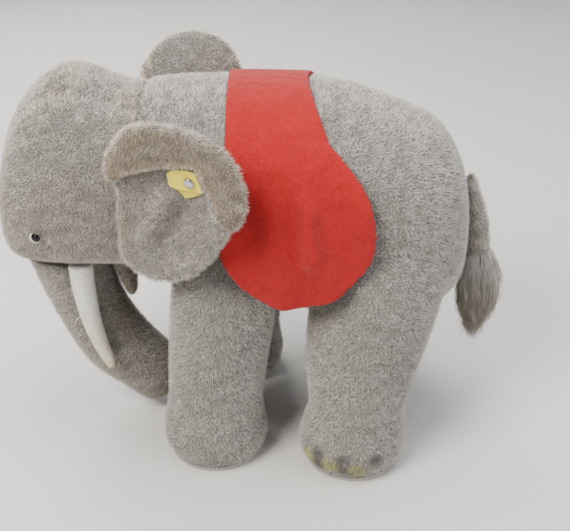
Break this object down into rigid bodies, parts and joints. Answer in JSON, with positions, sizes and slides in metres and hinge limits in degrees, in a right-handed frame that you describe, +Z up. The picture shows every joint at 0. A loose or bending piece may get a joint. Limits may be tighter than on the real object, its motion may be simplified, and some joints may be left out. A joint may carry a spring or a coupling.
{
  "type": "stuffed elephant",
  "caption": "Standing plush elephant with a hanging trunk, felt tusks, dished ears, a felt saddle blanket and a tufted tail, for a shelf or as a child's toy.",
  "frame": {"origin": "on the ground, at the centre of the object's box in plan", "axes": "+Z up, -Y the way the elephant faces, +X its own left side"},
  "size_m": [0.1322, 0.217, 0.1662],
  "materials": {
    "plush_grey": "short grey mohair pile",
    "plush_shade": "short grey mohair pile, browner",
    "sole_cloth": "flat cloth sole",
    "wood_wool": "packed wood wool",
    "card": "stiff card",
    "white_felt": "off-white felt",
    "eye_glass": "opaque black glass, polished",
    "wire": "plain wire",
    "stud_metal": "plain plated steel, satin",
    "tag_cloth": "yellow woven ribbon",
    "tuft_hair": "long grey mohair",
    "red_felt": "red wool felt"
  },
  "bodies": {
    "root": {"torso_left_side": "plush_grey", "torso_right_side": "plush_grey", "belly_gusset": "plush_shade", "torso_stuffing": "wood_wool", "head_left_side": "plush_grey", "head_right_side": "plush_grey", "head_gusset": "plush_shade", "head_stuffing": "wood_wool", "trunk_left_side": "plush_grey", "trunk_right_side": "plush_grey", "trunk_stuffing": "wood_wool", "lower_lip": "plush_shade", "tusk_left": "white_felt", "tusk_right": "white_felt", "tusk_left_stuffing": "wood_wool", "tusk_right_stuffing": "wood_wool", "front_leg_left": "plush_grey", "front_leg_right": "plush_grey", "rear_leg_left": "plush_grey", "rear_leg_right": "plush_grey", "front_leg_left_stuffing": "wood_wool", "front_leg_right_stuffing": "wood_wool", "rear_leg_left_stuffing": "wood_wool", "rear_leg_right_stuffing": "wood_wool", "front_card_left": "card", "front_card_right": "card", "rear_card_left": "card", "rear_card_right": "card", "front_sole_left": "sole_cloth", "front_sole_right": "sole_cloth", "rear_sole_left": "sole_cloth", "rear_sole_right": "sole_cloth", "eye_left_disc": "white_felt", "eye_right_disc": "white_felt", "eye_left": "eye_glass", "eye_right": "eye_glass", "eye_left_shank": "wire", "eye_right_shank": "wire", "blanket_strap": "red_felt"},
    "ear_left": {"ear_left_front_panel": "plush_shade", "ear_left_back_panel": "plush_grey", "ear_stud": "stud_metal", "ear_stud_washer": "stud_metal"},
    "tag": {"ear_tag": "tag_cloth"},
    "ear_right": {"ear_right_front_panel": "plush_shade", "ear_right_back_panel": "plush_grey"},
    "tail": {"tail_skin": "plush_grey", "tail_cord": "wood_wool"},
    "tuft": {"tail_tuft": "tuft_hair"},
    "blanket_left": {"blanket_left_flap": "red_felt"},
    "blanket_right": {"blanket_right_flap": "red_felt"}
  },
  "joints": [
    {"name": "ear_left_flap", "type": "hinge", "parent": "root", "child": "ear_left", "pos_m": [0.0395, -0.0525, 0.122], "axis": [0, 0, -1], "range_deg": [0, 40]},
    {"name": "ear_right_flap", "type": "hinge", "parent": "root", "child": "ear_right", "pos_m": [-0.0395, -0.0525, 0.12], "axis": [0, 0, 1], "range_deg": [0, 40]},
    {"name": "tag_turn", "type": "hinge", "parent": "ear_left", "child": "tag", "pos_m": [0.05122, -0.02109, 0.14162], "axis": [0.8836, -0.3838, -0.2683], "range_deg": [-15, 15]},
    {"name": "tail_swing", "type": "hinge", "parent": "root", "child": "tail", "pos_m": [0, 0.0885, 0.115], "axis": [0, 1, 0], "range_deg": [-30, 30]},
    {"name": "tuft_sway", "type": "hinge", "parent": "tail", "child": "tuft", "pos_m": [0, 0.097, 0.082], "axis": [1, 0, 0], "range_deg": [-2, 15]},
    {"name": "blanket_left_lift", "type": "hinge", "parent": "root", "child": "blanket_left", "pos_m": [0.0358, 0.01, 0.147], "axis": [0, -1, 0], "range_deg": [0, 7]},
    {"name": "blanket_right_lift", "type": "hinge", "parent": "root", "child": "blanket_right", "pos_m": [-0.0358, 0.01, 0.147], "axis": [0, 1, 0], "range_deg": [0, 7]}
  ]
}
